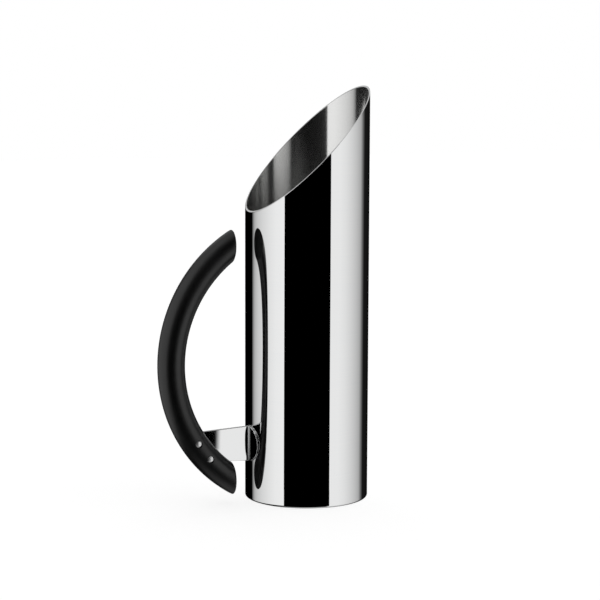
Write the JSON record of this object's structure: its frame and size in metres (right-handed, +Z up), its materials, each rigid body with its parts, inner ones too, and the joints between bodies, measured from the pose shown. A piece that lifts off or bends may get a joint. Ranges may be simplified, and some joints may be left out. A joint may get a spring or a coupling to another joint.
{
  "type": "cocktail pitcher",
  "caption": "Tall polished steel cylinder with a slanted pouring mouth and a black bow-shaped grip, carried clear of the body by a low riveted bracket.",
  "frame": {"origin": "middle of the base, on the plane that the pitcher stands on", "axes": "+Z up along the body's axis, -X towards the grip, +X towards the pouring tip"},
  "size_m": [0.142, 0.08, 0.267],
  "materials": {
    "polished_steel": "mirror-polished stainless steel",
    "black_nylon": "satin moulded nylon",
    "rivet_steel": "bright stainless steel"
  },
  "bodies": {
    "root": {"body_tube": "polished_steel", "base_cup": "polished_steel", "bracket_plate_left": "polished_steel", "bracket_plate_right": "polished_steel", "handle_grip": "black_nylon", "rivet_upper": "rivet_steel", "rivet_lower": "rivet_steel"}
  },
  "joints": []
}
